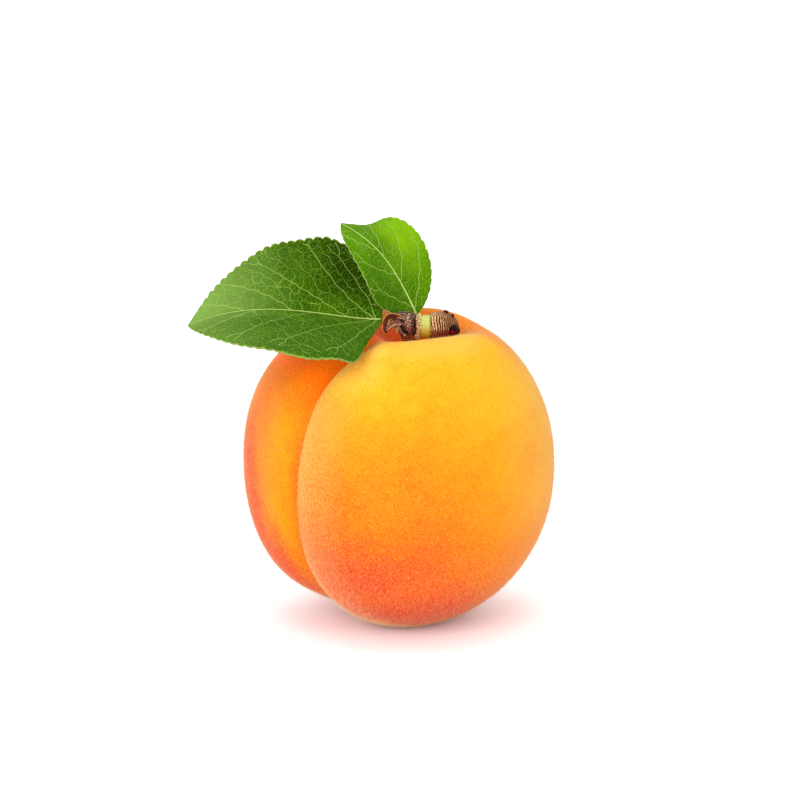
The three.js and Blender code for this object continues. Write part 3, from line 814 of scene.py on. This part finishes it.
blade_thickness, edge_thickness = 0.34, 0.16
main_puff, net_puff = 0.16, 0.05         # how far the blade rises between the veins
main_puff_reach, net_puff_reach = 1.1, 0.4
vein_proud = 0.05
vein_steps, vein_sides, tree_steps = 0.35, 8, 0.12
zigzag_pitch, zigzag_depth = 2.2, 0.7
vein_forks = ((38, 2.6), (-34, 2.4))     # degrees off the side vein's heading, and length
net_cell, net_tries = 1.9, 5000
beside_spacing, free_spacing = 0.58, 0.8     # of a cell: next to the main veins and elsewhere
leaf_stalk_radii, leaf_stalk_steps, leaf_stalk_drop = (0.55, 0.3), 16, 0.1
tooth_lean, tooth_roundness, tooth_middle = 1.3, 0.6, 0.6
teeth_begin, teeth_end = (0, 0.05), (0.99, 0.9)    # shares of the midrib where they grow and fade
rows_per_tooth = 8

# each half: width, fold up from level in degrees, more fold towards the tip, curl, sweep to the tip
# side veins: where each leaves the midrib, how it bends and where it ends, on the leaf laid flat
large_leaf = SimpleNamespace(
    name="leaf_large",
    slot="blade",
    midrib=[(-3.1, -2.7, 53.6), (-11.8, -2.4, 53.2), (-23.1, -11.3, 60.1), (-36.1, -8.4, 53.7)],
    faces=(0, 0, 1),
    right=(15.6, 48.5, 0, 0, -0.12),
    left=(19.9, -5.5, -3.8, -12.4, 0.16),
    base_fullness=0.5,
    tip_fullness=0.9,
    teeth=34,
    tooth_depth=0.48,
    flutter=0.45,
    flutter_waves=3.5,
    stalk=[(-0.9, -0.5, 52.6), (-2.2, -1.7, 53.1)],
    right_veins=[
        (0.9, (2.2, 4.8), (6.9, 12.2)),
        (1.0, (8.4, 5.4), (12.0, 13.6)),
        (6.0, (13.6, 4.4), (20.8, 9.0)),
        (16.0, (20.6, 3.8), (28.4, 6.2)),
        (24.4, (27.4, 1.8), (31.6, 2.9)),
    ],
    left_veins=[
        (0.6, (3.4, 6.4), (12.4, 15.8)),
        (1.2, (8.8, 4.4), (20.2, 12.6)),
        (12.4, (18.4, 3.8), (26.0, 8.8)),
        (22.0, (26.4, 2.4), (30.8, 4.4)),
    ],
    net_stretch=(1.1, 1.5),      # how drawn out the net is across the right and the left half
    net_strength=(1.0, 0.6),     # how plain it is on the right and the left half
    midrib_width=0.21,
    columns=130,
    deep=(34, 74, 0),
    fresh=(78, 128, 8),
    # pale: a painted sheen towards the tip
    pale=(146, 184, 92),
    # under: painted shade on the left half, away from the tip
    under=(36, 94, 0),
    shaded=(28, 58, 0),
    pale_from=(13, 34),          # along the leaf
    shade_from=(19, 5),
    shade_across=(1.5, 7),
    lit=0.0,                     # how brightly the light strikes the right half
)
small_leaf = SimpleNamespace(
    name="leaf_small",
    slot="blade_young",
    midrib=[(2.8, 2.8, 53.3), (-1.2, 3.6, 62.1), (-3.9, -2.2, 66.9), (-10.2, 3.2, 69.3)],
    faces=(0, -1, 0.25),
    right=(10.1, -28.2, -36.6, 0, 0.07),
    left=(8.0, 42.3, 7.9, 0, -0.09),
    base_fullness=0.69,
    tip_fullness=0.88,
    teeth=22,
    tooth_depth=0.26,
    flutter=0.2,
    flutter_waves=2.5,
    stalk=[(1.9, 1.0, 52.5), (2.4, 2.2, 53.1)],
    right_veins=[
        (1.2, (4.4, 3.4), (8.7, 7.8)),
        (6.7, (9.3, 3.6), (13.3, 7.0)),
        (12.1, (14.5, 2.4), (17.7, 4.2)),
    ],
    left_veins=[
        (1.6, (4.5, 3.0), (9.5, 5.8)),
        (8.1, (11.1, 2.8), (14.7, 4.8)),
        (13.7, (16.1, 1.6), (18.7, 2.6)),
    ],
    net_stretch=(1.1, 1.2),
    net_strength=(0.75, 0.6),
    midrib_width=0.17,
    columns=110,
    deep=(54, 112, 0),
    fresh=(112, 168, 8),
    pale=(92, 150, 30),
    under=(52, 114, 0),
    shaded=(44, 98, 0),
    pale_from=(12, 26),
    shade_from=(17, 4),
    shade_across=(3, -4),
    lit=0.9,
)


def midrib_at(leaf, s):
    """The midrib's points and headings, for s from 0 at the base to 1 at the tip."""
    a, b, c, d = np.array(leaf.midrib, float)
    s = np.asarray(s, float)[..., None]
    r = 1 - s
    point = r**3 * a + 3 * r**2 * s * b + 3 * r * s**2 * c + s**3 * d
    return point, unit(r**2 * (b - a) + 2 * r * s * (c - b) + s**2 * (d - c))


def half_sizes(leaf, t):
    """Full width, fold, gain of fold, curl and sweep of the half that t lies on."""
    return np.moveaxis(np.where(np.asarray(t)[..., None] < 0, leaf.left, leaf.right), -1, 0)


def outline_share(leaf, s):
    """The outline's half-width, as a share of its widest."""
    a, b = leaf.base_fullness, leaf.tip_fullness
    widest = a / (a + b)
    return (s / widest) ** a * ((1 - s) / (1 - widest)) ** b


def measure(leaf):
    """Lengths along the midrib and round the outline, at shares of the midrib."""
    leaf.shares = np.linspace(0, 1, 500) ** 2
    midrib = midrib_at(leaf, leaf.shares)[0]
    steps = np.linalg.norm(np.diff(midrib, axis=0), axis=1)
    leaf.run = np.concatenate([[0], np.cumsum(steps)])
    out = (leaf.right[0] + leaf.left[0]) / 2 * outline_share(leaf, leaf.shares)
    leaf.edge_run = np.concatenate([[0], np.cumsum(np.hypot(steps, np.diff(out)))])
    leaf.edge_run /= leaf.edge_run[-1]


def tooth_at(leaf, s):
    """How far a tooth stands out of the outline; no two neighbours are quite alike."""
    count = leaf.teeth * np.interp(s, leaf.shares, leaf.edge_run)
    scallop = np.sin(math.pi * (count % 1) ** tooth_lean) ** tooth_roundness
    depth = leaf.tooth_depth * (0.7 + 0.6 * (np.floor(count) * 0.618 % 1))
    return depth * eased(*teeth_begin, s) * eased(*teeth_end, s) * (scallop - tooth_middle)


def blade_middle(leaf, s, t):
    """Points of the blade's middle surface, for t from -1 at the left edge to 1 at the right."""
    s, t = np.clip(s, 1e-6, 1 - 1e-6), np.asarray(t, float)
    point, along = midrib_at(leaf, s)
    level = unit(np.cross(along, leaf.faces))
    facing = np.cross(level, along)
    full_width, fold, gain, curl, sweep = half_sizes(leaf, t)
    out = np.abs(t)
    width = full_width * outline_share(leaf, s)
    reach = out * width + tooth_at(leaf, s) * out**6
    angle = (fold + gain * s + curl * out / 2) * DEGREE
    wave = leaf.flutter * np.sin(2 * math.pi * leaf.flutter_waves * s) * out**2 * (1 - s)
    sideways = np.sign(t) * reach * np.cos(angle)
    upward = reach * np.sin(angle) + wave
    forward = sweep * out * width
    return point + level * sideways[..., None] + facing * upward[..., None] + along * forward[..., None]


def blade_normal(leaf, s, t):
    step = 0.004
    s = np.clip(s, 2 * step, 1 - 2 * step)
    across = blade_middle(leaf, s, t + step) - blade_middle(leaf, s, t - step)
    along = blade_middle(leaf, s + step, t) - blade_middle(leaf, s - step, t)
    return unit(np.cross(across, along))


def laid_flat(leaf, s, t):
    """Where points of the blade lie on the leaf laid flat: along the midrib and across, in mm."""
    full_width, _, _, _, sweep = half_sizes(leaf, t)
    across = t * full_width * outline_share(leaf, s)
    return np.stack([np.interp(s, leaf.shares, leaf.run) + sweep * np.abs(across), across], -1)


def put_back(leaf, flat):
    """s and t of places on the leaf laid flat; t goes past 1 outside the blade."""
    across = flat[..., 1]
    full_width, _, _, _, sweep = half_sizes(leaf, across)
    s = np.interp(flat[..., 0] - sweep * np.abs(across), leaf.run, leaf.shares)
    s = np.clip(s, 1e-3, 1 - 1e-3)
    return s, across / (full_width * outline_share(leaf, s))


def on_blade(leaf, flat):
    s, t = put_back(leaf, flat)
    return (np.abs(t) < 0.96) & (s > 0.004) & (s < 0.99)


def near_tree(paths):
    """A tree of points close together on the paths, which finds the nearest."""
    points = np.vstack([evenly(path, tree_steps) for path in paths])
    tree = kdtree.KDTree(len(points))
    for index, (x, y) in enumerate(points):
        tree.insert((x, y, 0), index)
    tree.balance()
    return tree


def gap_to(tree, flat):
    gaps = [tree.find((x, y, 0))[2] for x, y in flat.reshape(-1, 2)]
    return np.array(gaps).reshape(flat.shape[:-1])


def evenly(path, step):
    """The same path with its points at even steps."""
    run = np.concatenate([[0], np.cumsum(np.linalg.norm(np.diff(path, axis=0), axis=1))])
    spots = np.linspace(0, run[-1], max(int(run[-1] / step) + 1, 3))
    return np.stack([np.interp(spots, run, path[:, i]) for i in range(2)], -1)


def left_of(heading):
    return np.stack([-heading[:, 1], heading[:, 0]], -1)


def main_veins(leaf):
    """The midrib and the side veins, each forked at its end, on the leaf laid flat."""
    veins = [np.array([(x, 0.0) for x in np.arange(0.2, leaf.run[-1], vein_steps)])]
    for sign, rows in ((1, leaf.right_veins), (-1, leaf.left_veins)):
        for start, bend, end in rows:
            corners = np.array([(start, 0), bend, end]) * (1, sign)
            share = np.linspace(0, 1, 30)[:, None]
            path = (1 - share) ** 2 * corners[0] + 2 * share * (1 - share) * corners[1]
            path = path + share**2 * corners[2]
            heading = unit(np.gradient(path, axis=0))
            zigzag = np.abs((path[:, :1] / zigzag_pitch + start) % 1 - 0.5) - 0.25
            path = path + left_of(heading) * zigzag * zigzag_depth * (1 - share**4)
            veins.append(evenly(path, vein_steps))
            heading = unit(path[-1] - path[-4])
            for degrees, length in vein_forks:
                side = np.array(spun(*heading, degrees * DEGREE))
                fork = [path[-1], path[-1] + side * length * 0.5, path[-1] + (side + heading) * length * 0.55]
                veins.append(evenly(np.array(fork), vein_steps))
    inside = [vein[on_blade(leaf, vein)] for vein in veins]
    return [vein for vein in inside if len(vein) > 3]


def stretch(leaf, flat):
    """How drawn out the net's cells are, along and across, at places on the leaf laid flat."""
    return np.stack([1 + 0 * flat[..., 1], np.where(flat[..., 1] > 0, *leaf.net_stretch)], -1)


def vein_net(leaf, veins, chance):
    """Walls of a net of cells between the main veins, which meet those veins square on."""
    beside = []
    for vein in veins:
        path = evenly(vein / stretch(leaf, vein), net_cell * 0.85)
        side = left_of(unit(np.gradient(path, axis=0))) * net_cell * 0.42
        beside += [*(path + side), *(path - side)]
    widest = max(leaf.right[0], leaf.left[0]) + 2
    free = chance.uniform((-2, -widest), (leaf.run[-1] + 2, widest), (net_tries, 2))
    seeds = [beside[0]]
    for spots, apart in ((beside[1:], beside_spacing), (free, free_spacing)):
        for spot in spots:
            if np.min(np.linalg.norm(np.array(seeds) - spot, axis=1)) > net_cell * apart:
                seeds.append(spot)
    points, _, triangles = geometry.delaunay_2d_cdt([Vector(p) for p in seeds], [], [], 0, 1e-4)[:3]
    points = np.array(points)
    corner = points[np.array(triangles)]
    a, b, c = corner[:, 0], corner[:, 1] - corner[:, 0], corner[:, 2] - corner[:, 0]
    twice = 2 * (b[:, 0] * c[:, 1] - b[:, 1] * c[:, 0])
    b2, c2 = (b**2).sum(1), (c**2).sum(1)
    middle = a + np.stack([c[:, 1] * b2 - b[:, 1] * c2, b[:, 0] * c2 - c[:, 0] * b2], -1) / twice[:, None]
    sides = {}
    for index, triangle in enumerate(triangles):
        for i in range(3):
            sides.setdefault(frozenset((triangle[i - 1], triangle[i])), []).append(index)
    walls = []
    for pair, owners in sides.items():
        if len(owners) < 2:
            continue
        between = points[list(pair)].mean(0)
        clear = gap_to(leaf.main_tree, between * stretch(leaf, between)) > 0.2
        ends = middle[owners[:2]]
        if 0.1 < np.linalg.norm(ends[1] - ends[0]) < 2.5 * net_cell and clear:
            wall = evenly(ends * stretch(leaf, ends), vein_steps)
            wall = wall + 0.16 * np.sin(wall[:, ::-1] * (2.9, 2.3) + wall * (1.1, -1.3))
            if on_blade(leaf, wall).all():
                walls.append(wall)
    return walls


def blade_at(leaf, s, t, lift, net_gap=None):
    """Points lifted off the middle surface, with the blade's swell between the veins."""
    flat = laid_flat(leaf, s, t)
    main_gap = gap_to(leaf.main_tree, flat)
    if net_gap is None:
        net_gap = np.minimum(gap_to(leaf.net_tree, flat), main_gap)
    puff = main_puff * (1 - np.exp(-main_gap / main_puff_reach))
    puff = (puff + net_puff * (1 - np.exp(-net_gap / net_puff_reach))) * (1 - np.abs(t) ** 8)
    return blade_middle(leaf, s, t) + blade_normal(leaf, s, t) * (lift + puff)[..., None]


def vein_skin(leaf, flat, wide, proud, keel):
    """A vein right through the blade, which stands proud above and by its keel below."""
    s, t = put_back(leaf, flat)
    top, low = blade_thickness / 2 + proud + 0 * s, blade_thickness / 2 + keel
    middle = blade_at(leaf, s, t, (top - low) / 2, net_gap=0 * s)
    heading = unit(np.gradient(middle, axis=0))
    facing = blade_normal(leaf, s, t)
    return rod_skin(middle, heading, facing, wide, (top + low) / 2, vein_sides, squareness=0.5)


def make_leaf(leaf, chance):
    measure(leaf)
    veins = main_veins(leaf)
    leaf.main_tree = near_tree(veins)
    net = vein_net(leaf, veins, chance)
    leaf.net_tree = near_tree(net)

    # the blade: rings that run over the face from edge to edge and back along the underside
    rows = leaf.teeth * rows_per_tooth
    s = np.interp(np.arange(1, rows) / rows, leaf.edge_run, leaf.shares)
    t = np.linspace(-1, 1, leaf.columns)
    s_grid, t_grid = np.meshgrid(s, t, indexing="ij")
    half_thick = (edge_thickness + (blade_thickness - edge_thickness) * (1 - t_grid**8)) / 2
    face = blade_at(leaf, s_grid, t_grid, half_thick)
    under = blade_at(leaf, s_grid, t_grid, -half_thick)
    rings = np.concatenate([face, under[:, ::-1]], axis=1)
    tips = blade_middle(leaf, np.array([0.0, 1.0]), np.array([0.0, 0.0]))
    points = np.vstack([rings.reshape(-1, 3), tips])
    faces = ring_faces(len(s), 2 * leaf.columns, len(points) - 2, len(points) - 1)

    def wrapped(top, low):
        """Values for the face, the underside and the two tips, in the order of the points."""
        both = np.concatenate([top, low[:, ::-1]], axis=1)
        return np.vstack([both.reshape(-1, 3), np.zeros((2, 3))])

    flat = laid_flat(leaf, s_grid, t_grid)
    spots = [np.dstack([flat, np.full(t_grid.shape, beneath)]) for beneath in (0, 1)]
    gaps = np.dstack([gap_to(leaf.main_tree, flat), gap_to(leaf.net_tree, flat), np.abs(t_grid)])
    values = {"spot": wrapped(*spots), "gaps": wrapped(gaps, gaps)}
    blade = add_mesh(leaf.name + "_blade", points, faces, blade_finish(leaf), **values)
    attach(blade, "root")
    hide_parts(leaf.name)

    # the veins, stout at the midrib's base and thin in the net, and the leaf's stalk
    skins, strength = [], []
    for number, vein in enumerate(veins):
        thinning = 1 - np.linspace(0, 1, len(vein))
        proud = vein_proud
        if number == 0:
            wide, keel, stout = 0.05 + leaf.midrib_width * thinning**1.4, 0.06 + 0.4 * thinning, 1.0
            proud = vein_proud + 0.6 * wide
        elif len(vein) * vein_steps > 3.2:
            wide, keel, stout = 0.032 + 0.03 * thinning, 0.04 + 0.12 * thinning, 0.7
        else:
            wide, keel, stout = 0.026 + 0.016 * thinning, 0.03, 0.6
        skins.append(vein_skin(leaf, vein, wide, proud, keel))
        strength += [stout] * len(skins[-1])
    for wall in net:
        patchy = eased(-0.35, 0.35, noise.noise(Vector((*wall[0] / 3.5, 4.2))))
        stout = 0.05 + 0.35 * patchy + 0.35 * chance.random()
        stout *= leaf.net_strength[0] if wall[0, 1] > 0 else leaf.net_strength[1]
        wide = np.full(len(wall), 0.022 + 0.018 * stout)
        skins.append(vein_skin(leaf, wall, wide, vein_proud, 0.015))
        strength += [stout] * len(skins[-1])
    path, heading = curve_points([*leaf.stalk, midrib_at(leaf, 0.03)[0]], leaf_stalk_steps)
    path = path - [0, 0, leaf_stalk_drop]
    thick = np.linspace(*leaf_stalk_radii, leaf_stalk_steps)
    skins.append(rod_skin(path, heading, [0, 0.3, 1], thick, thick, vein_sides))
    strength += [1] * len(skins[-1])
    ribs = add_mesh(leaf.name + "_veins", *joined(skins, vein_sides), vein_finish(leaf), strength=strength)
    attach(ribs, "root")


def blade_finish(leaf):
    finish, place, link = new_finish(
        leaf.slot, Roughness=0.55, Specular_IOR_Level=0.02, Subsurface_Weight=0.1,
        Subsurface_Radius=(0.5, 1.0, 0.2), Subsurface_Scale=0.0005,
    )
    spot, gaps = place.carried("spot"), place.carried("gaps")
    along, across, beneath = spot.axis(0), spot.axis(1), spot.axis(2)
    main_gap, net_gap, out = gaps.axis(0), gaps.axis(1), gaps.axis(2)
    fine_gap = spot.cell_wall(0.55)
    mottle = spot.cloud(0.4, 3.0, 0.7)
    tone = spot.cloud(6.0, 2.0).eased(0.3, 0.7) * 0.4 + mottle.eased(0.32, 0.7) * 0.6
    colour = layered(
        tone.over(leaf.deep, leaf.fresh),
        # towards the tip the colour turns to pale, which on the large leaf is a painted sheen
        (along.eased(*leaf.pale_from) * (across.eased(-5, 1) * 0.4 + 0.35), leaf.pale),
        (along.eased(*leaf.shade_from) * across.eased(*leaf.shade_across) * 0.75, leaf.shaded),
        # painted shade on the left half, away from the tip
        (across.eased(-1.5, -6) * along.eased(30, 20) * 0.5, leaf.under),
        (along.eased(4, 11) * along.eased(21, 12) * across.eased(1, 6) * leaf.lit, (136, 194, 8)),
        (fine_gap.eased(0.05, 0.01) * mottle.eased(0.35, 0.6) * 0.4, (150, 196, 20)),
        (spot.dot_middle(0.75).eased(0.15, 0.05) * 0.6, (172, 212, 50)),
        (net_gap.eased(0.16, 0.0) * 0.1, (140, 182, 0)),
        (main_gap.eased(0.24, 0.0) * 0.2, (150, 190, 30)),
        (out.eased(0.972, 0.995) * 0.6, (186, 206, 96)),
        (beneath * 0.65, (160, 186, 120)),
    )
    link(Base_Color=colour, Normal=(mottle * 0.5 + fine_gap.eased(0.0, 0.12) * 0.5).raised(0.00006))
    return finish


def vein_finish(leaf):
    finish, place, link = new_finish(leaf.slot + "_vein", Roughness=0.5, Specular_IOR_Level=0.15)
    colour = place.carried("strength", 2).eased(0.0, 0.9).over((92, 144, 30), (208, 234, 128))
    link(Base_Color=(place.cloud(0.6).eased(0.4, 0.8) * 0.3).over(colour, (120, 160, 60)))
    return finish


for number, leaf in enumerate((large_leaf, small_leaf)):
    make_leaf(leaf, np.random.default_rng(20 + number))
